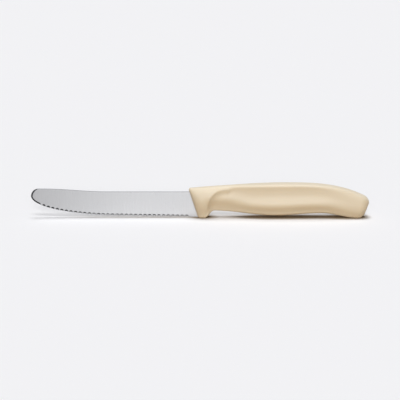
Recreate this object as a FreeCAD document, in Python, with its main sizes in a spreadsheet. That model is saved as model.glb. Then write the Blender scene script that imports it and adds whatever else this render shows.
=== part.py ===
import FreeCAD, Part
import math
import os

import Sketcher

# Tomato knife: a thin stainless blade with a scalloped edge and a round nose, and a cream plastic handle
# moulded over the blade's tang. The knife stands on its guard and its butt, edge down.
# X runs along the knife from the tip to the butt, Y across its thickness and Z up from the ground.
# The origin is on the ground, half way along and in the middle of the thickness.

SIZES = {
    # Blade, lengths in millimetres and angles in degrees
    "blade_length": 109.7,        # tip to the handle's front, along the ground
    "spine_height": 17.0,         # straight part of the spine above the ground
    "nose_rise": 1.95,            # nose above the straight spine
    "nose_radius": 5.05,          # round of the nose, from the spine to the tip
    "nose_sweep": 48.0,           # length over which the spine climbs to the nose
    "edge_sweep": 58.0,           # length over which the edge curves up to the tip
    "edge_lift": 1.1,             # edge above the ground where that curve starts
    "heel_lift": 0.15,            # edge above the ground at the handle
    "heel_depth": 1.6,            # full height of the blade inside the handle
    "stock_thickness": 1.2,       # sheet that the blade is stamped from
    "edge_thickness": 0.3,        # flat grind's thickness at the ground line
    "plunge_gap": 0.6,            # sheet left unground in front of the handle
    "scallop_pitch": 3.05,        # from one scallop of the edge to the next
    "scallop_depth": 1.3,         # hollow of a scallop behind its two points, on the side it is ground into
    "scallop_angle": 25.0,        # scallop's grinding direction, off the blade's plane
    "plain_heel": 6.0,            # edge without scallops in front of the handle
    "plain_nose": 5.0,            # edge without scallops before the tip
    # Tang
    "tang_length": 78.0,          # behind the handle's front, along the ground
    "tang_height": 8.4,           # below the line of the spine
    "lock_hole_radius": 2.0,      # holes that the handle's plastic fills
    "lock_hole_spacing": 24.0,
    "lock_hole_setback": 18.0,    # first hole behind the handle's front
    "lock_hole_end_gap": 8.0,     # sheet kept between the last hole's centre and the tang's end
    # Handle, side view
    "handle_length": 113.1,       # handle's front, on the ground, to the butt's upper corner
    "collar_rise": 2.4,           # back of the collar above the spine, at the handle's front
    "crown_rise": 3.5,            # crown of the back above the collar
    "butt_height": 12.2,          # upper corner of the butt
    "front_slant": 18.6,          # handle's front, off the vertical
    "butt_slant": 21.0,           # butt's face, off the vertical
    "guard_length": 4.4,          # foot of the guard, along the ground
    "notch_length": 6.0,          # rise from the guard to the finger notch's roof
    "notch_height": 4.4,          # finger notch's roof above the ground
    "belly_lift": 1.35,           # belly of the grip above the ground
    "arch_lift": 2.95,            # hollow in front of the butt above the ground
    "foot_flat_depth": 0.3,       # cut off the round underside of the guard and the butt
    # Handle, thickness
    "collar_width": 13.0,
    "neck_width": 8.4,            # just behind the collar
    "belly_width": 14.0,
    "butt_width": 11.8,
    "thumb_step_radius": 13.6,    # crescent edge of the collar, seen from the side
    "thumb_step_setback": 19.6,   # centre of the crescent behind the handle's front
    "thumb_step_lift": 6.4,       # centre of the crescent above the ground
    "thumb_step_run": 7.0,        # length over which the step falls to the neck
    "thumb_step_softness": 0.4,   # rounding of the crescent edge
    "front_round": 1.5,           # corners of the handle's front, seen from the side
    "butt_round": 3.4,            # corners of the butt, seen from the side
    "front_nose": 6.5,            # length of the handle's rounded front, seen from above
    "butt_nose": 5.0,             # length of the rounded butt, seen from above
    "front_lip": 0.6,             # plastic on each side of the blade where the handle's front ends
    "butt_lip": 1.2,              # half thickness where the butt ends
    "overrun": 1.0,               # how far a cut runs past what it cuts
}

GROUND = 0.0

# Side view of the handle, as shares of its length behind the front
crown_share = 0.49
neck_share = 0.13
belly_share = 0.45
arch_share = 0.715
foot_share = 0.92
neck_blend_shares = (0.14, 0.32)
butt_blend_shares = (0.62, 0.95)

# Half thickness of the handle at nine equal steps of the way round from the underside to the back,
# as shares of the half width there
collar_section_shares = (0.54, 0.64, 0.74, 0.89, 0.99, 0.97, 0.83, 0.60, 0.35)
neck_section_shares = (0.34, 0.44, 0.56, 0.78, 0.95, 0.84, 0.72, 0.72, 0.56)
grip_section_shares = (0.52, 0.70, 0.84, 1.00, 0.885, 0.77, 0.76, 0.79, 0.62)
butt_section_shares = (0.54, 0.72, 0.86, 0.97, 1.00, 0.97, 0.92, 0.82, 0.58)

# Powers of the back's fall from the crown towards the collar and the butt, and of the thumb step's fall
collar_fall_power = 1.6
butt_fall_power = 3.1
thumb_step_power = 3

# Net of the handle's skin: sections in each rounded end and between them, how much closer these lie near the
# collar, and points around a section
ROUND_STATIONS = 8
BODY_STATIONS = 72
STATION_CROWDING = 1.5
POINTS_AROUND = 64
SKIN_DEGREE = 3

doc = FreeCAD.newDocument("tomato_knife")

dims = doc.addObject("Spreadsheet::Sheet", "dims")
for row, (alias, value) in enumerate(SIZES.items(), start=1):
    dims.set(f"A{row}", alias)
    dims.set(f"B{row}", str(value))
    dims.setAlias(f"B{row}", alias)
doc.recompute()


def size(alias):
    """A size as the sheet holds it."""
    return float(dims.get(alias))


# Places along the knife that several pieces share
tip_x = -(size("blade_length") + size("handle_length")) / 2
front_x = tip_x + size("blade_length")
tip_x_expression = "-(dims.blade_length + dims.handle_length) / 2"
front_x_expression = "(dims.blade_length - dims.handle_length) / 2"
nose_top = size("spine_height") + size("nose_rise")
front_lean = math.tan(math.radians(size("front_slant")))
collar_height = size("spine_height") + size("collar_rise")
crown_height = collar_height + size("crown_rise")


def attached_sketch(body, name, role, offset=None):
    """An empty sketch on one of the body's own origin planes."""
    plane = next(feature for feature in body.Origin.OriginFeatures if feature.Role == role)
    sketch = body.newObject("Sketcher::SketchObject", name)
    sketch.AttachmentSupport = [(plane, "")]
    sketch.MapMode = "FlatFace"
    if offset is not None:
        sketch.AttachmentOffset = offset
    doc.recompute()
    return sketch


def relate(sketch, kind, *elements):
    """A geometric constraint without a value."""
    sketch.addConstraint(Sketcher.Constraint(kind, *elements))


def measure(sketch, name, kind, elements, expression):
    """A named dimension whose value is bound to the sheet."""
    start_value = sketch.evalExpression(expression)
    index = sketch.addConstraint(Sketcher.Constraint(kind, *elements, float(start_value)))
    sketch.renameConstraint(index, name)
    sketch.setExpression(f"Constraints.{name}", expression)


def place_point(sketch, name, element, vertex, x_expression, y_expression):
    """Both coordinates of a sketch point, from the sketch's origin."""
    measure(sketch, f"{name}_x", "DistanceX", (-1, 1, element, vertex), x_expression)
    measure(sketch, f"{name}_y", "DistanceY", (-1, 1, element, vertex), y_expression)


# Blade: one stamping with its tang, ground flat on both sides
START, END, CENTRE = 1, 2, 3
blank = doc.addObject("PartDesign::Body", "blade_blank")
outline = attached_sketch(blank, "blade_outline", "XZ_Plane")


def flat(x, y):
    return FreeCAD.Vector(x, y, 0)


def arc_between(centre, radius, start_degrees, end_degrees):
    circle = Part.Circle(centre, FreeCAD.Vector(0, 0, 1), radius)
    return Part.ArcOfCircle(circle, math.radians(start_degrees), math.radians(end_degrees))


nose_x = tip_x + size("nose_radius")
nose_centre = flat(nose_x, nose_top - size("nose_radius"))
sweep_end = flat(nose_x + size("nose_sweep"), size("spine_height"))
sweep_radius = (size("nose_sweep") ** 2 + size("nose_rise") ** 2) / (4 * size("nose_rise"))
sweep_turn = math.degrees(2 * math.atan2(size("nose_rise"), size("nose_sweep")))
edge_start = flat(tip_x + size("edge_sweep"), size("edge_lift"))
edge_centre = flat(edge_start.x, nose_centre.y)
heel = flat(front_x + size("heel_depth"), size("heel_lift"))
tang_low = size("spine_height") - size("tang_height")
tang_corner = flat(heel.x - (tang_low - heel.y) * front_lean, tang_low)
tang_end = flat(front_x + size("tang_length"), size("spine_height"))
tang_foot = flat(tang_end.x, tang_low)

spine = outline.addGeometry(Part.LineSegment(tang_end, sweep_end))
climb_centre = flat(sweep_end.x, sweep_end.y + sweep_radius)
climb = outline.addGeometry(arc_between(climb_centre, sweep_radius, 270 - sweep_turn, 270))
level_centre = flat(nose_x, nose_top - sweep_radius)
level = outline.addGeometry(arc_between(level_centre, sweep_radius, 90 - sweep_turn, 90))
nose = outline.addGeometry(arc_between(nose_centre, size("nose_radius"), 90, 180))
edge_ellipse = Part.Ellipse(
    flat(edge_centre.x + size("edge_sweep"), edge_centre.y),
    flat(edge_centre.x, 2 * edge_centre.y - size("edge_lift")),
    edge_centre,
)
curved_edge = outline.addGeometry(Part.ArcOfEllipse(edge_ellipse, math.pi, 1.5 * math.pi))
straight_edge = outline.addGeometry(Part.LineSegment(edge_start, heel))
heel_end = outline.addGeometry(Part.LineSegment(heel, tang_corner))
tang_underside = outline.addGeometry(Part.LineSegment(tang_corner, tang_foot))
tang_back = outline.addGeometry(Part.LineSegment(tang_foot, tang_end))
outline.exposeInternalGeometry(curved_edge)
long_axis = tang_back + 1
short_axis = tang_back + 2

relate(outline, "Horizontal", spine)
relate(outline, "Tangent", spine, END, climb, END)
relate(outline, "Tangent", climb, START, level, START)
relate(outline, "Equal", climb, level)
relate(outline, "Tangent", level, END, nose, START)
relate(outline, "Vertical", nose, START, nose, CENTRE)
relate(outline, "Horizontal", nose, END, nose, CENTRE)
relate(outline, "Coincident", nose, END, curved_edge, START)
relate(outline, "Horizontal", long_axis)
relate(outline, "PointOnObject", curved_edge, START, long_axis)
relate(outline, "PointOnObject", curved_edge, END, short_axis)
relate(outline, "Coincident", curved_edge, END, straight_edge, START)
relate(outline, "Coincident", straight_edge, END, heel_end, START)
relate(outline, "Coincident", heel_end, END, tang_underside, START)
relate(outline, "Horizontal", tang_underside)
relate(outline, "Coincident", tang_underside, END, tang_back, START)
relate(outline, "Vertical", tang_back)
relate(outline, "Coincident", tang_back, END, spine, START)

place_point(outline, "tang_end", spine, START,
            f"{front_x_expression} + dims.tang_length", "dims.spine_height")
measure(outline, "sweep_end_x", "DistanceX", (-1, 1, spine, END),
        f"{tip_x_expression} + dims.nose_radius + dims.nose_sweep")
place_point(outline, "nose_centre", nose, CENTRE,
            f"{tip_x_expression} + dims.nose_radius",
            "dims.spine_height + dims.nose_rise - dims.nose_radius")
measure(outline, "nose_radius", "Radius", (nose,), "dims.nose_radius")
place_point(outline, "edge_start", straight_edge, START,
            f"{tip_x_expression} + dims.edge_sweep", "dims.edge_lift")
place_point(outline, "heel", straight_edge, END,
            f"{front_x_expression} + dims.heel_depth", "dims.heel_lift")
place_point(outline, "tang_corner", heel_end, END,
            f"{front_x_expression} + dims.heel_depth"
            " - (dims.spine_height - dims.tang_height - dims.heel_lift) * tan(dims.front_slant)",
            "dims.spine_height - dims.tang_height")
doc.recompute()

sheet = blank.newObject("PartDesign::Pad", "blade_sheet")
sheet.Profile = outline
sheet.SideType = "Symmetric"
sheet.setExpression("Length", "dims.stock_thickness")
doc.recompute()

lock_sketch = attached_sketch(blank, "lock_hole_centres", "XZ_Plane")
lock_height = size("spine_height") - size("tang_height") / 2
lock_run = size("tang_length") - size("lock_hole_setback") - size("lock_hole_end_gap")
lock_hole_count = 1 + int(lock_run / size("lock_hole_spacing"))
for index in range(lock_hole_count):
    hole_x = front_x + size("lock_hole_setback") + index * size("lock_hole_spacing")
    hole = lock_sketch.addGeometry(Part.Circle(flat(hole_x, lock_height), FreeCAD.Vector(0, 0, 1),
                                               size("lock_hole_radius")))
    place_point(lock_sketch, f"hole_{index}", hole, CENTRE,
                f"{front_x_expression} + dims.lock_hole_setback + {index} * dims.lock_hole_spacing",
                "dims.spine_height - dims.tang_height / 2")
    measure(lock_sketch, f"hole_{index}_radius", "Radius", (hole,), "dims.lock_hole_radius")
doc.recompute()
lock_holes = blank.newObject("PartDesign::Pocket", "lock_holes")
lock_holes.Profile = lock_sketch
lock_holes.Type = "ThroughAll"
lock_holes.SideType = "Symmetric"
doc.recompute()

# Flat grind: a wedge taken off each side, ending in a plunge line just in front of the handle
plunge = FreeCAD.Placement(FreeCAD.Vector(0, 0, 0), FreeCAD.Rotation(FreeCAD.Vector(1, 0, 0), 0))
grind_sketch = attached_sketch(blank, "grind_wedge", "YZ_Plane", plunge)
grind_sketch.setExpression("AttachmentOffset.Base.z",
                           f"{front_x_expression} - dims.plunge_gap / cos(dims.front_slant)")
grind_sketch.setExpression("AttachmentOffset.Rotation.Angle", "-dims.front_slant")
half_stock = size("stock_thickness") / 2
wedge_top = flat(half_stock, nose_top / math.cos(math.radians(size("front_slant"))))
wedge_edge = flat(size("edge_thickness") / 2, GROUND)
wedge_side = flat(half_stock + size("overrun"), GROUND)
wedge_corners = (wedge_top, wedge_edge, wedge_side)
next_corners = wedge_corners[1:] + wedge_corners[:1]
wedge_lines = [grind_sketch.addGeometry(Part.LineSegment(corner, next_corner))
               for corner, next_corner in zip(wedge_corners, next_corners)]
for line, next_line in zip(wedge_lines, wedge_lines[1:] + wedge_lines[:1]):
    relate(grind_sketch, "Coincident", line, END, next_line, START)
ground_face, ground_foot, outer_side = wedge_lines
relate(grind_sketch, "PointOnObject", ground_foot, START, -1)
relate(grind_sketch, "PointOnObject", ground_foot, END, -1)
place_point(grind_sketch, "wedge_top", ground_face, START, "dims.stock_thickness / 2",
            "(dims.spine_height + dims.nose_rise) / cos(dims.front_slant)")
measure(grind_sketch, "wedge_edge_x", "DistanceX", (-1, 1, ground_foot, START), "dims.edge_thickness / 2")
measure(grind_sketch, "wedge_side_x", "DistanceX", (-1, 1, ground_foot, END),
        "dims.stock_thickness / 2 + dims.overrun")
doc.recompute()
grind = blank.newObject("PartDesign::Pocket", "right_grind")
grind.Profile = grind_sketch
grind.Type = "ThroughAll"
grind.UseCustomVector = True
grind.Direction = FreeCAD.Vector(-1, 0, 0)
doc.recompute()
both_grinds = blank.newObject("PartDesign::Mirrored", "both_grinds")
both_grinds.Originals = [grind]
mirror_plane = next(feature for feature in blank.Origin.OriginFeatures if feature.Role == "XZ_Plane")
both_grinds.MirrorPlane = (mirror_plane, [""])
blank.Tip = both_grinds
doc.recompute()

# Scallops: a row of slanting hollows ground into the left side of the edge, from the heel to the nose
scallop_turn = math.radians(size("scallop_angle"))
across_depth = "dims.scallop_depth * sin(dims.scallop_angle)"
scallop_radius_expression = f"((dims.scallop_pitch / 2) ^ 2 + ({across_depth}) ^ 2) / (2 * {across_depth})"
straight_path = outline.Geometry[straight_edge].toShape()
curved_path = outline.Geometry[curved_edge].toShape()
to_left = FreeCAD.Vector(0, -1, 0)


def edge_point(distance):
    """Point and direction of the edge, at a distance along it from the heel."""
    along_curve = distance - straight_path.Length
    if along_curve < 0:
        path, run = straight_path, straight_path.Length - distance
    else:
        path, run = curved_path, curved_path.Length - along_curve
    parameter = path.getParameterByLength(run)
    point = path.valueAt(parameter)
    tangent = path.tangentAt(parameter)
    return FreeCAD.Vector(point.x, 0, point.y), FreeCAD.Vector(tangent.x, 0, tangent.y)


def ground_thickness(height):
    """Thickness that the flat grind leaves at a height above the ground."""
    return size("edge_thickness") + (size("stock_thickness") - size("edge_thickness")) * height / nose_top


first_scallop = size("heel_depth") + size("plain_heel") + size("scallop_pitch") / 2
scalloped_length = straight_path.Length + curved_path.Length - first_scallop - size("plain_nose")
scallop_count = int(scalloped_length / size("scallop_pitch"))
hollows = []
for index in range(scallop_count):
    point, along = edge_point(first_scallop + index * size("scallop_pitch"))
    inward = along.cross(to_left)
    if inward.z < 0:
        inward = -inward
    grind_line = inward * math.cos(scallop_turn) + to_left * math.sin(scallop_turn)
    off_floor = to_left * math.cos(scallop_turn) - inward * math.sin(scallop_turn)
    hollow = doc.addObject("Part::Cylinder", f"scallop_{index}")
    hollow.setExpression("Radius", scallop_radius_expression)
    hollow.setExpression("Height", "2 * dims.scallop_pitch")
    hollow.recompute()
    deepest = point + inward * size("scallop_depth") + to_left * (ground_thickness(point.z) / 2)
    axis_point = deepest + off_floor * hollow.Radius.Value - grind_line * size("scallop_pitch")
    hollow.Placement = FreeCAD.Placement(axis_point, FreeCAD.Rotation(FreeCAD.Vector(0, 0, 1), grind_line))
    hollows.append(hollow)
scallops = doc.addObject("Part::MultiFuse", "scallops")
scallops.Shapes = hollows
blade = doc.addObject("Part::Cut", "blade")
blade.Label = "blade"
blade.Base = blank
blade.Tool = scallops
doc.recompute()


# Handle: one plastic moulding around the tang
def eased(places, x):
    """A height or width that is level at each of the places given and eases from one to the next."""
    if x <= places[0][0]:
        return places[0][1]
    for (x_before, before), (x_after, after) in zip(places, places[1:]):
        if x <= x_after:
            share = (x - x_before) / (x_after - x_before)
            return before + (after - before) * share * share * (3 - 2 * share)
    return places[-1][1]


def behind_front(share):
    return front_x + share * size("handle_length")


notch_start = front_x + size("guard_length")
notch_roof = notch_start + size("notch_length")
uncut_foot = GROUND - size("foot_flat_depth")
underside_places = [
    (notch_start, uncut_foot),
    (notch_roof, size("notch_height")),
    (behind_front(belly_share), size("belly_lift")),
    (behind_front(arch_share), size("arch_lift")),
    (behind_front(foot_share), uncut_foot),
]
grip_width_places = [
    (behind_front(neck_share), size("neck_width")),
    (behind_front(belly_share), size("belly_width")),
    (behind_front(1), size("butt_width")),
]
neck_blend_places = [(behind_front(share), value) for value, share in enumerate(neck_blend_shares)]
butt_blend_places = [(behind_front(share), value) for value, share in enumerate(butt_blend_shares)]

front_top_x = front_x - collar_height * front_lean
butt_top_x = front_x + size("handle_length")
butt_foot_x = butt_top_x - size("butt_height") * math.tan(math.radians(size("butt_slant")))
crown_x = behind_front(crown_share)


def back_height(x):
    """The handle's back: a power curve that falls from the crown to each end."""
    if x < crown_x:
        share = (crown_x - x) / (crown_x - front_top_x)
        return crown_height - size("crown_rise") * share ** collar_fall_power
    share = (x - crown_x) / (butt_top_x - crown_x)
    return crown_height - (crown_height - size("butt_height")) * share ** butt_fall_power


def section_waves(shares):
    """Sine waves around the section that pass through its half-thickness shares."""
    steps = len(shares) + 1
    return [2 / steps * sum(share * math.sin(wave * place * math.pi / steps)
                            for place, share in enumerate(shares, start=1))
            for wave in range(1, steps)]


collar_waves = section_waves(collar_section_shares)
neck_waves = section_waves(neck_section_shares)
grip_waves = section_waves(grip_section_shares)
butt_waves = section_waves(butt_section_shares)


def section_share(waves, turn):
    return sum(height * math.sin(wave * turn) for wave, height in enumerate(waves, start=1))


def behind_thumb_step(x, z):
    """0 on the collar, rising to 1 on the grip, with its steep start on the crescent edge."""
    along = x - front_x - size("thumb_step_setback")
    reach = size("thumb_step_radius") - math.hypot(min(0, along), z - size("thumb_step_lift")) + max(0, along)
    reach = (reach + math.hypot(reach, size("thumb_step_softness"))) / 2
    return 1 - max(0, 1 - reach / size("thumb_step_run")) ** thumb_step_power


def half_thickness(x, z, turn):
    """Half thickness of the handle at a place of its side view, blended from its four kinds of section."""
    grip = behind_thumb_step(x, z)
    belly = eased(neck_blend_places, x)
    butt = eased(butt_blend_places, x)
    grip_section = ((1 - belly) * section_share(neck_waves, turn)
                    + (belly - butt) * section_share(grip_waves, turn)
                    + butt * section_share(butt_waves, turn))
    collar_part = (1 - grip) * size("collar_width") * section_share(collar_waves, turn)
    grip_part = grip * eased(grip_width_places, x) * grip_section
    return (collar_part + grip_part) / 2


def rounded_end(half, distance, run, lip):
    """Half thickness near a rounded end: seen from above, a quarter ellipse that ends in a lip."""
    bend = max(0, 1 - distance / run)
    beyond_lip = max(0, abs(half) - lip)
    return math.copysign(min(abs(half), lip) + beyond_lip * math.sqrt(1 - bend ** 2), half)


def edge_inset(distance, radius):
    """How far a rounded end draws the skin in, at a distance from the end's face."""
    if distance >= radius:
        return 0
    return radius - math.sqrt(radius ** 2 - (radius - distance) ** 2)


underside_length = butt_foot_x - front_x
front_half = size("stock_thickness") / 2 + size("front_lip")


def skin_ring(station):
    """Points around the handle in one slanting section, at a distance along its underside from the front."""
    foot_x = front_x + station
    top_x = front_top_x + station / underside_length * (butt_top_x - front_top_x)
    foot = FreeCAD.Vector(foot_x, 0, eased(underside_places, foot_x))
    top = FreeCAD.Vector(top_x, 0, back_height(top_x))
    from_butt = underside_length - station
    inset = max(edge_inset(station, size("front_round")), edge_inset(from_butt, size("butt_round")))
    upward = (top - foot).normalize()
    foot = foot + upward * inset
    top = top - upward * inset
    ring = []
    for step in range(POINTS_AROUND):
        turn = math.pi / 2 + 2 * math.pi * step / POINTS_AROUND
        point = foot + (top - foot) * ((1 - math.cos(turn)) / 2)
        half = half_thickness(point.x, point.z, turn)
        half = rounded_end(half, station, size("front_nose"), front_half)
        half = rounded_end(half, from_butt, size("butt_nose"), size("butt_lip"))
        ring.append(FreeCAD.Vector(point.x, half, point.z))
    return ring


def stations():
    """Distances of the sections along the underside: close together at both ends and near the collar."""
    first = size("front_round")
    last = underside_length - size("butt_round")
    quarter = math.pi / 2 / ROUND_STATIONS
    front = [first * (1 - math.cos(quarter * step)) for step in range(ROUND_STATIONS)]
    body = [first + (last - first) * (step / BODY_STATIONS) ** STATION_CROWDING
            for step in range(BODY_STATIONS)]
    butt = [last + size("butt_round") * math.sin(quarter * step) for step in range(ROUND_STATIONS + 1)]
    return front + body + butt


rings = [skin_ring(station) for station in stations()]
spans = len(rings) - SKIN_DEGREE
skin = Part.BSplineSurface()
skin.buildFromPolesMultsKnots(
    rings,
    [SKIN_DEGREE + 1] + [1] * (spans - 1) + [SKIN_DEGREE + 1],
    [1] * (POINTS_AROUND + 1),
    list(range(spans + 1)),
    list(range(POINTS_AROUND + 1)),
    False,
    True,
    SKIN_DEGREE,
    SKIN_DEGREE,
)
front_rim = Part.Wire(skin.uIso(0).toShape())
butt_rim = Part.Wire(skin.uIso(spans).toShape())
faces = [skin.toShape(), Part.Face(front_rim), Part.Face(butt_rim)]
shell = Part.makeShell(faces)
shell.sewShape()
form = doc.addObject("Part::Feature", "handle_form")
form.Shape = Part.makeSolid(shell)
below_ground = doc.addObject("Part::Box", "below_ground")
below_ground.setExpression("Length", "dims.handle_length + 2 * dims.overrun")
below_ground.setExpression("Width", "dims.belly_width")
below_ground.setExpression("Height", "dims.foot_flat_depth + dims.overrun")
below_ground.setExpression("Placement.Base.x", f"{front_x_expression} - dims.overrun")
below_ground.setExpression("Placement.Base.y", "-dims.belly_width / 2")
below_ground.setExpression("Placement.Base.z", "-(dims.foot_flat_depth + dims.overrun)")
standing_form = doc.addObject("Part::Cut", "standing_form")
standing_form.Base = form
standing_form.Tool = below_ground
handle = doc.addObject("Part::Cut", "handle")
handle.Label = "handle"
handle.Base = standing_form
handle.Tool = blank
doc.recompute()

failed = [item.Name for item in doc.Objects if "Invalid" in item.State or "Error" in item.State]
if failed:
    raise RuntimeError(f"failed objects: {failed}")
pieces = [blade, handle]
for piece in pieces:
    if piece.Shape.isNull() or not piece.Shape.isValid():
        raise RuntimeError(f"{piece.Label} has no valid shape")

# The rounded butt ends a little short of its corner, so the knife is set back on its own middle
blade_box = blade.Shape.optimalBoundingBox()
handle_box = handle.Shape.optimalBoundingBox()
middle_x = (blade_box.XMin + handle_box.XMax) / 2
for piece in pieces:
    piece.Placement.Base = FreeCAD.Vector(-middle_x, 0, 0)

os.makedirs("parts", exist_ok=True)
for piece in pieces:
    piece.Shape.exportStep(f"parts/{piece.Label}.step")
    box = piece.Shape.optimalBoundingBox()
    print(piece.Label, len(piece.Shape.Solids), "solid", round(piece.Shape.Volume, 1), "mm3",
          [round(value, 2) for value in (box.XMin, box.XMax, box.YMin, box.YMax, box.ZMin, box.ZMax)])
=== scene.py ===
import math

import bpy
import numpy as np
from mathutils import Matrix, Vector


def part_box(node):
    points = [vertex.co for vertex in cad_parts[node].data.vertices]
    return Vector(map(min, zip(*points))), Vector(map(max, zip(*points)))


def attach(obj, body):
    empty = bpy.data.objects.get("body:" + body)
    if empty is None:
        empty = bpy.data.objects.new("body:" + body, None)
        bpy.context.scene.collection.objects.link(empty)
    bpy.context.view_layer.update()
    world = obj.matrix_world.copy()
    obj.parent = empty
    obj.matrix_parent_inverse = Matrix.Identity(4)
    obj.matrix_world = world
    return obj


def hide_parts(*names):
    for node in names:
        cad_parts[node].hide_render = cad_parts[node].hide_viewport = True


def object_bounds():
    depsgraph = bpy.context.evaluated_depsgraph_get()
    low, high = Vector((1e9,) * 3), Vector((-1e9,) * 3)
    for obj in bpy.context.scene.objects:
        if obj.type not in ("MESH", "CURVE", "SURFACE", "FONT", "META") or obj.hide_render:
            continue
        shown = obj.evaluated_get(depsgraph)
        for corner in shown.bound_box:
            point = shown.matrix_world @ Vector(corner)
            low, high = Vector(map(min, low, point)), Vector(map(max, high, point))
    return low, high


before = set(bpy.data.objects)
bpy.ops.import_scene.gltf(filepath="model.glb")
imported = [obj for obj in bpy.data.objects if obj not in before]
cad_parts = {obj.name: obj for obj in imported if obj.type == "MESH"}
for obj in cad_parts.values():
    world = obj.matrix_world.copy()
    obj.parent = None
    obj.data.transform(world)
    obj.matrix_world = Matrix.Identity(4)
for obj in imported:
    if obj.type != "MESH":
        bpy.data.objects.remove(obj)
cad_low, cad_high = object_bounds()

# Blade
# One stamping of thin stainless sheet with its tang, ground flat on both sides towards the edge and the tip
# and finished with fine lines across. Scallops are ground into the left side of the edge.
MM = 0.001
blade_length = 109.7 * MM
spine_height = 17 * MM
nose_rise = 1.95 * MM
nose_radius = 5.05 * MM
nose_sweep = 48 * MM  # length over which the spine climbs to the nose
edge_sweep = 58 * MM  # length over which the edge curves up to the tip
edge_lift = 1.1 * MM  # edge above the ground where that curve starts
heel_lift = 0.15 * MM  # edge above the ground at the handle
heel_depth = 1.6 * MM  # full height of the blade inside the handle
stock_thickness = 1.2 * MM
edge_thickness = 0.3 * MM  # flat grind's thickness at the ground line
plunge_gap = 0.6 * MM  # sheet left unground in front of the handle
plunge_run = 0.12 * MM  # length over which the grind starts
scallop_pitch = 3.05 * MM
scallop_depth = 1.3 * MM
scallop_angle = math.radians(25)  # grinding direction, off the blade's plane
plain_heel = 6 * MM  # edge without scallops in front of the handle
plain_nose = 5 * MM  # edge without scallops before the tip
tang_height = 8.4 * MM
spine_round = 0.12 * MM
tip_gap = spine_round / 8  # from the last ring to the tip
nose_bevel = 1.1 * MM
nose_bevel_reach = 4.5 * MM  # length over which the nose's bevel widens
nose_bevel_share = 0.9  # share of the thickness that the bevel takes
front_slant = math.radians(18.6)
blade_crease = math.radians(20)  # bend at which the shading breaks

tip_x = cad_low[0]
tang_end_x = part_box("blade")[1][0]
front_x = tip_x + blade_length
front_lean = math.tan(front_slant)
nose_x = tip_x + nose_radius
nose_top = spine_height + nose_rise
nose_centre_z = nose_top - nose_radius
edge_start_x = tip_x + edge_sweep
heel_x = front_x + heel_depth
plunge = (heel_depth + plunge_gap) / math.cos(front_slant)
lean_fade = 2 * plain_heel  # length over which the rings turn from the front's slant to upright
tang_low = spine_height - tang_height

# Painted shade: the middle of each scallop and the nose's bevel get near-black steel, standing for the shaded
# gap under the blade
painted_shade_share = 0.32  # part of a scallop, to each side of its middle, that looks dark
face_greys = ((0.598, 0.596, 0.602), (0.655, 0.653, 0.659))
face_gloss = (0.24, 0.34)
# near-black greys of that painted shade
scallop_painted_shade_greys = ((0.05, 0.05, 0.052), (0.09, 0.09, 0.093))
scallop_gloss = (0.30, 0.42)
lines_across = (7000, 1, 90)  # grinding lines per metre along X, Y and Z
lines_along = (90, 1, 7000)
line_depth = 0.02 * MM
line_strength = 0.06
fine_detail = 2
broad_detail = 3
fine_per_broad = 5
grazing_tint = (0.7, 0.7, 0.7)

STRAIGHT_POINTS = 200
CURVE_POINTS = 2000
HEEL_COLUMNS = 14
COLUMNS_PER_SCALLOP = 16
NOSE_COLUMNS = 40
FACE_ROWS = 10
TANG_RINGS = 2


def edge_line():
    """The edge before it is scalloped: straight from the heel, then a quarter ellipse that ends upright at
    the tip. Gives its points in the side view and how far along the edge each one is."""
    run = np.linspace(0, 1, STRAIGHT_POINTS)[:, None]
    turn = np.linspace(0, math.pi / 2, CURVE_POINTS)[1:, None]
    heel = np.array([heel_x, heel_lift])
    bend = np.array([edge_start_x, edge_lift])
    straight = heel + (bend - heel) * run
    curve = np.hstack([edge_start_x - edge_sweep * np.sin(turn),
                       nose_centre_z - (nose_centre_z - edge_lift) * np.cos(turn)])
    points = np.vstack([straight, curve])
    steps = np.linalg.norm(np.diff(points, axis=0), axis=1)
    return points, np.concatenate([[0], np.cumsum(steps)])


def spine_z(x):
    """Height of the spine: level, then two equal bends up to the nose, then a quarter circle down to the
    tip."""
    share = np.clip((nose_x + nose_sweep - x) / nose_sweep, 0, 1)
    climb = np.where(share < 0.5, 2 * share ** 2, 1 - 2 * (1 - share) ** 2)
    round_nose = np.sqrt(np.maximum(0, nose_radius ** 2 - np.maximum(0, nose_x - x) ** 2))
    return spine_height + nose_rise * climb - nose_radius + round_nose


edge_points, edge_travel = edge_line()
edge_total = edge_travel[-1]
first_scallop = heel_depth + plain_heel + scallop_pitch / 2
scallop_count = int((edge_total - first_scallop - plain_nose) / scallop_pitch)
scallops_start = first_scallop - scallop_pitch / 2
scallops_end = scallops_start + scallop_count * scallop_pitch
across_depth = scallop_depth * math.sin(scallop_angle)
scallop_radius = ((scallop_pitch / 2) ** 2 + across_depth ** 2) / (2 * across_depth)


def half_thickness_at(z):
    """Half of the ground sheet's thickness at a height: it grows evenly from the ground line to the nose."""
    return (edge_thickness + (stock_thickness - edge_thickness) * z / nose_top) / 2


def blade_columns():
    """Places along the edge where the blade is cut into rings: some at the plain heel, an even number in each
    scallop, and more and more closely towards the tip."""
    heel = np.concatenate([[0, plunge - plunge_run],
                           np.linspace(plunge, scallops_start, HEEL_COLUMNS)[:-1]])
    scalloped = np.linspace(scallops_start, scallops_end, scallop_count * COLUMNS_PER_SCALLOP + 1)[:-1]
    nose = scallops_end + (edge_total - scallops_end) * np.sin(np.linspace(0, math.pi / 2, NOSE_COLUMNS))
    return np.concatenate([heel, scalloped, nose[:-1], [edge_total - tip_gap]])


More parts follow.
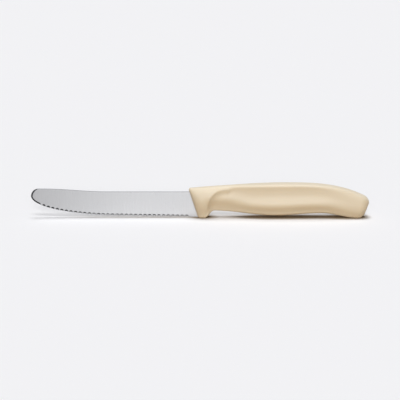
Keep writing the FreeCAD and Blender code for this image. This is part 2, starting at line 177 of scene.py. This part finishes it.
def blade_surface():
    """Rings around the blade, one for each place along the edge. A ring runs up the left face from the
    scallop's crease to the spine, over the spine's two rounds, and down the right face to the edge.
    A scallop is a slanting hollow cylinder: square to the edge its floor is a straight line, and along the
    edge it rises from the middle as the square of the distance."""

    def on_edge(distance):
        """Points of the edge line at distances along it."""
        return np.stack([np.interp(distance, edge_travel, edge_points[:, axis]) for axis in (0, 1)], axis=1)

    travel = blade_columns()
    base = on_edge(travel)
    along = on_edge(travel + plunge_run) - on_edge(travel - plunge_run)
    along /= np.linalg.norm(along, axis=1)[:, None]
    inward = np.stack([along[:, 1], -along[:, 0]], axis=1)

    nearest = np.clip(np.round((travel - first_scallop) / scallop_pitch), 0, scallop_count - 1)
    aside = travel - first_scallop - nearest * scallop_pitch
    rise = aside ** 2 / (2 * scallop_radius)
    thickness = 2 * half_thickness_at(base[:, 1])
    crease_depth = np.maximum(0, scallop_depth - rise / math.sin(scallop_angle))
    edge_depth = np.maximum(0, crease_depth - thickness / math.tan(scallop_angle))
    past_scallops = np.clip((travel - scallops_end) / (scallop_pitch / 2), 0, 1)
    crease_depth = np.maximum(crease_depth, nose_bevel * past_scallops)

    # The sheet is unground at the handle, and the rings there lean as the handle's front does
    ground = np.clip((travel - (plunge - plunge_run)) / plunge_run, 0, 1)
    lean = front_lean * np.clip(1 - (travel - plunge) / lean_fade, 0, 1)
    top_x = base[:, 0] - lean * (spine_height - base[:, 1])
    top = np.stack([top_x, spine_z(top_x)], axis=1)
    low = base + inward * edge_depth[:, None]
    crease = base + inward * crease_depth[:, None]

    tang_x = np.array([top_x[0] + heel_depth, tang_end_x])
    tang_corner = heel_x - front_lean * (tang_low - heel_lift)
    tang = np.stack([np.array([tang_corner, tang_end_x]), np.full(2, tang_low)], axis=1)[::-1]
    tang_top = np.stack([tang_x, np.full(2, spine_height)], axis=1)[::-1]
    low = np.vstack([tang, low])
    crease = np.vstack([tang, crease])
    top = np.vstack([tang_top, top])
    ground = np.concatenate([[0, 0], ground])

    near_tip = np.clip((tip_x + nose_bevel_reach - top[:, 0]) / nose_bevel_reach, 0, 1)
    near_tip = near_tip * (2 - near_tip)
    rim = spine_round + (nose_bevel - spine_round) * near_tip
    outward = np.stack([np.minimum(0, top[:, 0] - nose_x), np.full(len(top), nose_radius)], axis=1)
    outward[:, 1] = np.sqrt(np.maximum(0, nose_radius ** 2 - outward[:, 0] ** 2))
    outward /= nose_radius
    left_rim = top - outward * rim[:, None]
    right_rim = top - outward * np.minimum(rim, spine_round)[:, None]

    def half(points):
        """Half thickness at points of the rings: the ground sheet's, or the whole sheet's at the handle."""
        thick = half_thickness_at(points[..., 1])
        return thick + (stock_thickness / 2 - thick) * (1 - ground.reshape(-1, *[1] * (points.ndim - 2)))

    rows = np.linspace(0, 1, FACE_ROWS)[None, :, None]
    left = crease[:, None] + (left_rim - crease)[:, None] * rows
    right = right_rim[:, None] + (low - right_rim)[:, None] * rows
    left_y = -half(left)
    right_y = half(right)
    top_half = half(top)
    bevel_y = spine_round + 2 * (top_half - spine_round) * nose_bevel_share * near_tip
    spine_y = np.stack([-top_half + bevel_y, top_half - spine_round], axis=1)
    side_view = np.concatenate([left, top[:, None], top[:, None], right], axis=1)
    across = np.concatenate([left_y, spine_y, right_y], axis=1)
    return np.stack([side_view[..., 0], across, side_view[..., 1]], axis=2)


def ring_mesh(name, rings):
    """A closed mesh from an array of rings: a four-sided face between each pair of neighbours, and one flat
    face on the first and the last ring."""
    count, around = rings.shape[:2]
    number = np.arange(count * around).reshape(count, around)
    beside = np.roll(number, -1, axis=1)
    quads = np.stack([number[:-1], beside[:-1], beside[1:], number[1:]], axis=2).reshape(-1, 4)
    faces = quads.tolist() + [number[0, ::-1].tolist(), number[-1].tolist()]
    mesh = bpy.data.meshes.new(name)
    mesh.from_pydata(rings.reshape(-1, 3), [], faces)
    mesh.validate()
    piece = bpy.data.objects.new(name, mesh)
    bpy.context.collection.objects.link(piece)
    return piece


def add_node(tree, kind, inputs=(), **settings):
    """A shader node with its settings, and its input sockets set to values or linked to other nodes'
    outputs."""
    node = tree.nodes.new(kind)
    for setting, value in settings.items():
        setattr(node, setting, value)
    for socket, value in dict(inputs).items():
        if isinstance(value, bpy.types.NodeSocket):
            tree.links.new(value, node.inputs[socket])
        else:
            node.inputs[socket].default_value = value
    return node


def tone_between(tree, share, *tones):
    """A colour that goes from the first tone to the second as the share goes from 0 to 1. A tone is a colour
    or another node's output."""
    first, second = (tone if isinstance(tone, bpy.types.NodeSocket) else (*tone, 1) for tone in tones)
    mix = add_node(tree, "ShaderNodeMix", {"Factor": share, "A": first, "B": second}, data_type="RGBA")
    return mix.outputs["Result"]


def new_material(name, constants):
    """A material with one Principled shader whose constant sockets are set."""
    material = bpy.data.materials.new(name)
    material.use_nodes = True
    shader = material.node_tree.nodes["Principled BSDF"]
    for socket, value in constants.items():
        shader.inputs[socket].default_value = value
    return material, material.node_tree, shader


def streak_group():
    """Fine lines left by a grinding belt: noise in Object coordinates, stretched by its own amount on each
    axis."""
    group = bpy.data.node_groups.new("grinding_lines", "ShaderNodeTree")
    group.interface.new_socket("Per metre", in_out="INPUT", socket_type="NodeSocketVector")
    group.interface.new_socket("Detail", in_out="INPUT", socket_type="NodeSocketFloat")
    group.interface.new_socket("Lines", in_out="OUTPUT", socket_type="NodeSocketFloat")
    entry = group.nodes.new("NodeGroupInput")
    leave = group.nodes.new("NodeGroupOutput")
    place = add_node(group, "ShaderNodeTexCoord").outputs["Object"]
    spread = add_node(group, "ShaderNodeVectorMath", {0: place, 1: entry.outputs["Per metre"]},
                      operation="MULTIPLY")
    noise = add_node(group, "ShaderNodeTexNoise", {"Vector": spread.outputs[0], "Scale": 1.0,
                                                   "Detail": entry.outputs["Detail"]})
    group.links.new(noise.outputs["Fac"], leave.inputs["Lines"])
    return group


grinding_lines = streak_group()


def lines_node(tree, per_metre, detail):
    """The grinding lines placed in a material, so many per metre along each axis."""
    node = add_node(tree, "ShaderNodeGroup", node_tree=grinding_lines)
    node.inputs["Per metre"].default_value = per_metre
    node.inputs["Detail"].default_value = detail
    return node.outputs["Lines"]


def steel(name, dark, bright, roughness, line_stretch):
    """Stainless steel: two greys that alternate along the grinding lines, which also set the gloss and the
    relief."""
    material, tree, shader = new_material(name, {"Metallic": 1.0, "Specular Tint": (*grazing_tint, 1)})
    fine = lines_node(tree, line_stretch, fine_detail)
    broad = lines_node(tree, tuple(value / fine_per_broad for value in line_stretch), broad_detail)
    grey = tone_between(tree, broad, dark, bright)
    gloss = add_node(tree, "ShaderNodeMapRange",
                     {"Value": fine, "To Min": roughness[0], "To Max": roughness[1]})
    relief = add_node(tree, "ShaderNodeBump",
                      {"Height": fine, "Strength": line_strength, "Distance": line_depth})
    tree.links.new(grey, shader.inputs["Base Color"])
    tree.links.new(gloss.outputs["Result"], shader.inputs["Roughness"])
    tree.links.new(relief.outputs["Normal"], shader.inputs["Normal"])
    return material


blade = ring_mesh("blade_dressed", blade_surface())
blade.data.materials.append(steel("ground_steel", *face_greys, face_gloss, lines_across))
# The second material is steel painted near black, as painted shade
blade.data.materials.append(steel("scallop_painted_shade_steel", *scallop_painted_shade_greys, scallop_gloss, lines_along))
# The middle of each scallop and the bevel around the nose are painted near black: painted shade standing for
# the shaded gap under the blade that they mirror
travel = blade_columns()
between = (travel[:-1] + travel[1:]) / 2
from_middle = abs((between - scallops_start) % scallop_pitch - scallop_pitch / 2)
is_middle = (from_middle < painted_shade_share * scallop_pitch) | (between > scallops_end)
ring_size = 2 * FACE_ROWS + 2
face_number = np.arange(len(blade.data.polygons))
in_ring = face_number % ring_size
ring = np.minimum(face_number // ring_size - TANG_RINGS, len(between) - 1)
on_edge_bevel = (in_ring == ring_size - 1) & (ring >= 0) & is_middle[ring]
on_nose_bevel = in_ring == FACE_ROWS - 1
painted_shade_faces = on_edge_bevel | on_nose_bevel
tip_face = -1
painted_shade_faces[tip_face] = True
blade.data.polygons.foreach_set("material_index", painted_shade_faces.astype(np.int32))
blade.data.shade_smooth()
blade.data.set_sharp_from_angle(angle=blade_crease)
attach(blade, "root")
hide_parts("blade")

# Handle
# One cream plastic moulding around the tang, with a collar and a guard in front, a hollowed grip and a
# rounded butt. It stands on the flats under its guard and its butt, and the mould leaves a fine matte grain.
handle_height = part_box("handle")[1][2]
collar_rise = 2.4 * MM
butt_height = 12.2 * MM
butt_slant = math.radians(21)
guard_length = 4.4 * MM
notch_length = 6 * MM
notch_height = 4.4 * MM
belly_lift = 1.35 * MM
arch_lift = 2.95 * MM
foot_flat_depth = 0.3 * MM  # taken off the round underside of the guard and the butt
collar_width = 13 * MM
neck_width = 8.4 * MM
belly_width = 13.9 * MM  # a little inside the solid, as is the length
butt_width = 11.8 * MM
thumb_step_radius = 13.6 * MM  # crescent edge of the collar, seen from the side
thumb_step_setback = 19.6 * MM  # centre of the crescent behind the handle's front
thumb_step_lift = 6.4 * MM  # centre of the crescent above the ground
thumb_step_run = 7 * MM  # length over which the step falls to the neck
thumb_step_softness = 0.4 * MM  # rounding of the crescent edge
thumb_step_power = 3
front_round = 1.5 * MM  # corners of the handle's front, seen from the side
butt_round = 3.4 * MM  # corners of the butt, seen from the side
front_nose = 6.5 * MM  # length of the rounded front, seen from above
butt_nose = 5 * MM  # length of the rounded butt, seen from above
front_lip = 0.6 * MM  # plastic on each side of the blade where the front ends
butt_lip = 1.2 * MM  # half thickness where the butt ends
handle_length = 113.06 * MM
handle_crease = math.radians(50)  # bend at which the shading breaks

# Places along the handle, as shares of its length behind its front
crown_share = 0.49
neck_share = 0.13
belly_share = 0.45
arch_share = 0.715
foot_share = 0.92
neck_blend_shares = (0.14, 0.32)
butt_blend_shares = (0.62, 0.95)
# Half thickness at nine equal steps from the underside to the back, as shares of the half width there
collar_section_shares = (0.54, 0.64, 0.74, 0.89, 0.99, 0.97, 0.83, 0.60, 0.35)
neck_section_shares = (0.34, 0.44, 0.56, 0.78, 0.95, 0.84, 0.72, 0.72, 0.56)
grip_section_shares = (0.52, 0.70, 0.84, 1.00, 0.885, 0.77, 0.76, 0.79, 0.62)
butt_section_shares = (0.54, 0.72, 0.86, 0.97, 1.00, 0.97, 0.92, 0.82, 0.58)
# Powers of the back's fall from the crown towards the collar and the butt
collar_fall_power = 1.6
butt_fall_power = 3.1

deep_cream = (0.675, 0.588, 0.446)
pale_cream = (0.699, 0.612, 0.470)
plastic_gloss = (0.42, 0.54)
grain_depth = 0.05 * MM
grain_strength = 0.08
grain_per_metre = 3200
drift_per_metre = 60

BODY_STATIONS = 320
ROUND_STATIONS = 14
STATION_CROWDING = 1.25
POINTS_AROUND = 160

collar_height = spine_height + collar_rise
butt_top_x = front_x + handle_length
butt_foot_x = butt_top_x - butt_height * math.tan(butt_slant)
front_top_x = front_x - collar_height * front_lean
crown_x = front_x + crown_share * handle_length


def eased(x, places):
    """A height or width that is level at each of the places given and eases from one to the next."""
    spots, values = np.array(places).T
    before = np.clip(np.searchsorted(spots, x) - 1, 0, len(spots) - 2)
    share = np.clip((x - spots[before]) / (spots[before + 1] - spots[before]), 0, 1)
    return values[before] + (values[before + 1] - values[before]) * share ** 2 * (3 - 2 * share)


def behind_front(share):
    """Place at a share of the handle's length behind its front."""
    return front_x + share * handle_length


underside_places = [
    (front_x + guard_length, -foot_flat_depth),
    (front_x + guard_length + notch_length, notch_height),
    (behind_front(belly_share), belly_lift),
    (behind_front(arch_share), arch_lift),
    (behind_front(foot_share), -foot_flat_depth),
]
grip_width_places = [
    (behind_front(neck_share), neck_width),
    (behind_front(belly_share), belly_width),
    (behind_front(1), butt_width),
]
neck_blend_places = [(behind_front(share), value) for value, share in enumerate(neck_blend_shares)]
butt_blend_places = [(behind_front(share), value) for value, share in enumerate(butt_blend_shares)]


def back_z(x):
    """The handle's back: a power curve that falls from the crown to each end."""
    to_collar = np.clip((crown_x - x) / (crown_x - front_top_x), 0, 1)
    to_butt = np.clip((x - crown_x) / (butt_top_x - crown_x), 0, 1)
    fall = (handle_height - collar_height) * to_collar ** collar_fall_power
    return handle_height - fall - (handle_height - butt_height) * to_butt ** butt_fall_power


def section_share(shares, turn):
    """Half thickness around a section, as sine waves that pass through the shares given at equal turns from
    the underside to the back. The waves are odd, so the other side is the mirror image."""
    steps = len(shares) + 1
    places = np.arange(1, steps) * math.pi / steps
    waves = np.arange(1, steps)
    heights = 2 / steps * np.sin(np.outer(waves, places)) @ np.array(shares)
    return np.sin(turn[..., None] * waves) @ heights


def behind_thumb_step(x, z):
    """0 on the collar, rising to 1 on the grip, with its steep start on a crescent edge."""
    along = x - front_x - thumb_step_setback
    reach = thumb_step_radius - np.hypot(np.minimum(0, along), z - thumb_step_lift) + np.maximum(0, along)
    reach = (reach + np.hypot(reach, thumb_step_softness)) / 2
    return 1 - (1 - np.clip(reach / thumb_step_run, 0, 1)) ** thumb_step_power


def edge_inset(distance, radius):
    """How far a rounded end draws the skin in, at a distance from the end's face: a quarter circle."""
    return radius - np.sqrt(np.maximum(0, radius ** 2 - np.maximum(0, radius - distance) ** 2))


def rounded_end(half, distance, run, lip):
    """Half thickness near a rounded end: seen from above, a quarter ellipse that ends in a lip."""
    bend = np.clip(1 - distance / run, 0, 1)
    beyond_lip = np.maximum(0, abs(half) - lip)
    return np.sign(half) * (np.minimum(abs(half), lip) + beyond_lip * np.sqrt(1 - bend ** 2))


def handle_surface():
    """Slanting sections from the handle's front to its butt. Each spans from the underside to the back, and
    its half thickness blends the collar's, the neck's, the grip's and the butt's sections. What lies below
    the ground is pressed flat on it."""
    length = butt_foot_x - front_x
    quarter = np.linspace(0, math.pi / 2, ROUND_STATIONS)
    front = front_round * (1 - np.cos(quarter[:-1]))
    body_share = np.linspace(0, 1, BODY_STATIONS)[:-1] ** STATION_CROWDING
    body = front_round + (length - front_round - butt_round) * body_share
    butt = length - butt_round + butt_round * np.sin(quarter)
    station = np.concatenate([front, body, butt])[:, None]

    foot_x = front_x + station
    top_x = front_top_x + station / length * (butt_top_x - front_top_x)
    foot_z = eased(foot_x, underside_places)
    top_z = back_z(top_x)
    inset = np.maximum(edge_inset(station, front_round), edge_inset(length - station, butt_round))
    reach = np.hypot(top_x - foot_x, top_z - foot_z)
    draw = inset / reach
    turn = np.linspace(0, 2 * math.pi, POINTS_AROUND, endpoint=False)[None, :]
    height = draw + (1 - 2 * draw) * (1 - np.cos(turn)) / 2
    x = foot_x + (top_x - foot_x) * height
    z = foot_z + (top_z - foot_z) * height

    width = eased(x, grip_width_places)
    belly_part = eased(x, neck_blend_places)
    butt_part = eased(x, butt_blend_places)
    grip_section = ((1 - belly_part) * section_share(neck_section_shares, turn)
                    + (belly_part - butt_part) * section_share(grip_section_shares, turn)
                    + butt_part * section_share(butt_section_shares, turn))
    grip_part = behind_thumb_step(x, z)
    half = ((1 - grip_part) * collar_width * section_share(collar_section_shares, turn)
            + grip_part * width * grip_section) / 2
    half = rounded_end(half, station, front_nose, stock_thickness / 2 + front_lip)
    half = rounded_end(half, length - station, butt_nose, butt_lip)
    return np.stack([x, half, np.maximum(0, z)], axis=2)


def moulded_plastic():
    """Cream plastic: a base colour with faint cloudy drift, and fine mould grain in its gloss and relief."""
    material, tree, shader = new_material("cream_plastic", {
        "IOR": 1.49,
        "Subsurface Weight": 0.08,
        "Subsurface Radius": (1.0, 0.7, 0.4),
        "Subsurface Scale": 1.5 * MM,
    })
    place = add_node(tree, "ShaderNodeTexCoord").outputs["Object"]
    drift = add_node(tree, "ShaderNodeTexNoise", {"Vector": place, "Scale": drift_per_metre, "Detail": 2.0})
    colour = tone_between(tree, drift.outputs["Fac"], deep_cream, pale_cream)
    grain = add_node(tree, "ShaderNodeTexNoise", {"Vector": place, "Scale": grain_per_metre, "Detail": 2.0})
    gloss = add_node(tree, "ShaderNodeMapRange",
                     {"Value": grain.outputs["Fac"], "To Min": plastic_gloss[0], "To Max": plastic_gloss[1]})
    relief = add_node(tree, "ShaderNodeBump", {"Height": grain.outputs["Fac"], "Strength": grain_strength,
                                               "Distance": grain_depth})
    tree.links.new(colour, shader.inputs["Base Color"])
    tree.links.new(gloss.outputs["Result"], shader.inputs["Roughness"])
    tree.links.new(relief.outputs["Normal"], shader.inputs["Normal"])
    return material


handle = ring_mesh("handle_dressed", handle_surface())
handle.data.materials.append(moulded_plastic())
handle.data.shade_smooth()
handle.data.set_sharp_from_angle(angle=handle_crease)
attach(handle, "root")
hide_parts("handle")

# Studio
# A plain pale floor that runs far back, with painted brown contact shade close to the knife, and three soft
# lights: one above the camera, one overhead and a little behind the knife, and one low in front. Only where
# the steel mirrors it, the floor is painted darker towards the tip, a painted reflection, and the surround is
# pale.
# The light that the floor throws up is warm in front.
floor_reach = 4.0
floor_tone = (0.905, 0.905, 0.926)
# Painted contact shade: the floor seen by the camera turns this brown where the knife hems it in
painted_contact_shade = (0.30, 0.235, 0.165)
contact_reach = 6 * MM  # how near the knife has to be to shade the floor
contact_openness = (0.44, 0.97)  # open sky at which that shade is full, and at which it ends
bounce_tones = ((0.53, 0.385, 0.215), (0.92, 0.88, 0.82))
bounce_from_y = 0
bounce_to_y = 12 * MM
# Painted reflection: seen only in the steel, the floor goes from the darker tone near the tip to the paler
# one
painted_reflection_tones = ((0.53, 0.53, 0.54), (0.92, 0.925, 0.94))
mirrored_from_x = -0.13
mirrored_to_x = -0.045
surround_tone = (0.95, 0.98, 1.03)
surround_strength = 0.9
mirrored_depth = 2.5  # most steps from the camera to the surround

floor_mesh = bpy.data.meshes.new("floor")
floor_corners = [(-floor_reach, -floor_reach, 0), (floor_reach, -floor_reach, 0),
                 (floor_reach, floor_reach, 0), (-floor_reach, floor_reach, 0)]
floor_mesh.from_pydata(floor_corners, [], [(0, 1, 2, 3)])
floor = bpy.data.objects.new("floor", floor_mesh)
bpy.context.collection.objects.link(floor)
floor_material, floor_tree, floor_shader = new_material("pale_floor", {
    "Roughness": 0.9,
    "Specular IOR Level": 0.0,
})
floor_place = add_node(floor_tree, "ShaderNodeTexCoord").outputs["Object"]
floor_axes = add_node(floor_tree, "ShaderNodeSeparateXYZ", {"Vector": floor_place}).outputs
# Painted reflection: the floor, as mirrored in the steel, darkens towards the tip
towards_tip = add_node(floor_tree, "ShaderNodeMapRange",
                       {"Value": floor_axes["X"], "From Min": mirrored_from_x, "From Max": mirrored_to_x})
painted_reflection_colour = tone_between(floor_tree, towards_tip.outputs["Result"], *painted_reflection_tones)
# Painted shade: the camera sees the floor brown where little open sky reaches it, a painted contact shadow
openness = add_node(floor_tree, "ShaderNodeAmbientOcclusion", {"Distance": contact_reach})
off_contact = add_node(floor_tree, "ShaderNodeMapRange",
                       {"Value": openness.outputs["AO"], "From Min": contact_openness[0],
                        "From Max": contact_openness[1]})
seen_tone = tone_between(floor_tree, off_contact.outputs["Result"], painted_contact_shade, floor_tone)
towards_back = add_node(floor_tree, "ShaderNodeMapRange",
                        {"Value": floor_axes["Y"], "From Min": bounce_from_y, "From Max": bounce_to_y})
bounce_tone = tone_between(floor_tree, towards_back.outputs["Result"], *bounce_tones)
floor_path = add_node(floor_tree, "ShaderNodeLightPath").outputs
# Glossy rays see the painted reflection, other rays the floor's bounce
unseen_tone = tone_between(floor_tree, floor_path["Is Glossy Ray"], bounce_tone, painted_reflection_colour)
floor_colour = tone_between(floor_tree, floor_path["Is Camera Ray"], unseen_tone, seen_tone)
floor_tree.links.new(floor_colour, floor_shader.inputs["Base Color"])
floor_mesh.materials.append(floor_material)

world = bpy.data.worlds.new("pale_surround")
world.use_nodes = True
surround = world.node_tree.nodes["Background"]
surround.inputs["Color"].default_value = (*surround_tone, 1)
world_path = add_node(world.node_tree, "ShaderNodeLightPath").outputs
# The surround shows where the camera sees it mirrored, and not in the light that the steel throws down
seen_at_once = add_node(world.node_tree, "ShaderNodeMath",
                        {0: world_path["Ray Depth"], 1: mirrored_depth}, operation="LESS_THAN")
seen_mirrored = add_node(world.node_tree, "ShaderNodeMath",
                         {0: world_path["Is Glossy Ray"], 1: seen_at_once.outputs["Value"]},
                         operation="MULTIPLY")
surround_shown = add_node(world.node_tree, "ShaderNodeMath",
                          {0: seen_mirrored.outputs["Value"], 1: surround_strength}, operation="MULTIPLY")
world.node_tree.links.new(surround_shown.outputs["Value"], surround.inputs["Strength"])
bpy.context.scene.world = world


def soft_light(name, elevation, strength, spread):
    """A far-off soft light square to the knife's length: its elevation goes from 0 in front over 90 overhead
    to 180 behind, and its strength is the brightness of a white face square to it."""
    lamp = bpy.data.lights.new(name, "SUN")
    lamp.energy = strength * math.pi
    lamp.angle = math.radians(spread)
    light = bpy.data.objects.new(name, lamp)
    turn = math.radians(elevation)
    light.rotation_euler = Vector((0, math.cos(turn), -math.sin(turn))).to_track_quat("-Z", "Y").to_euler()
    bpy.context.collection.objects.link(light)


soft_light("front_light", elevation=62, strength=0.37, spread=26)
soft_light("overhead_light", elevation=104, strength=0.49, spread=34)
soft_light("low_light", elevation=19, strength=0.55, spread=24)

# Camera
# Square to the knife's length and a little above it, as in the photograph, and far enough off for a nearly
# parallel view.
picture_middle = Vector((0, 0, 0.01135))
camera_distance = 1.2
camera_elevation = math.radians(12)
picture_width = 0.2626
lens_data = bpy.data.cameras.new("camera")
lens_data.sensor_width = 36
lens_data.lens = lens_data.sensor_width * camera_distance / picture_width
camera = bpy.data.objects.new("camera", lens_data)
away = Vector((0, -math.cos(camera_elevation), math.sin(camera_elevation)))
camera.location = picture_middle + away * camera_distance
camera.rotation_euler = (-away).to_track_quat("-Z", "Y").to_euler()
bpy.context.collection.objects.link(camera)
bpy.context.scene.camera = camera
bpy.context.scene.view_settings.view_transform = "Standard"
